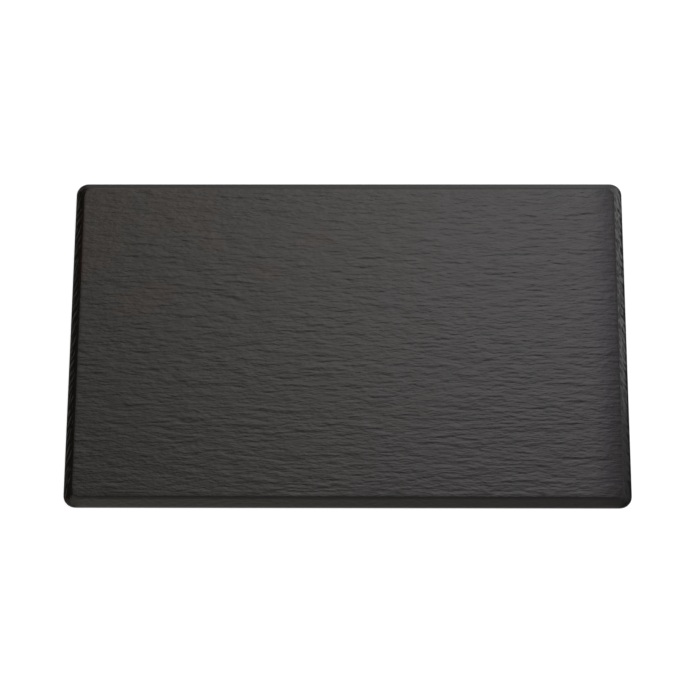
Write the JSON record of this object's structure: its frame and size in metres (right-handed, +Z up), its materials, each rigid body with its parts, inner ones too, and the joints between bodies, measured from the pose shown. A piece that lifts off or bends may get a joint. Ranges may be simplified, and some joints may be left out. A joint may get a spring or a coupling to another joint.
{
  "type": "serving tray",
  "caption": "Flat rectangular melamine serving tray with a slate-textured top, sloping edges, a hollow underside and rubber anti-slip feet.",
  "frame": {"origin": "middle of the tray's plan, on the plane of the table that the feet stand on", "axes": "+X along the long side, +Y from the front edge to the back edge, +Z up out of the serving face"},
  "size_m": [0.53, 0.325, 0.012],
  "materials": {
    "melamine": "satin black with a slate relief",
    "rubber": "matt black",
    "adhesive_foam": "pale acrylic foam tape"
  },
  "bodies": {
    "root": {"tray_body": "melamine", "foot_front_left": "rubber", "foot_front_right": "rubber", "foot_back_left": "rubber", "foot_back_right": "rubber", "adhesive_pad_front_left": "adhesive_foam", "adhesive_pad_front_right": "adhesive_foam", "adhesive_pad_back_left": "adhesive_foam", "adhesive_pad_back_right": "adhesive_foam"}
  },
  "joints": []
}
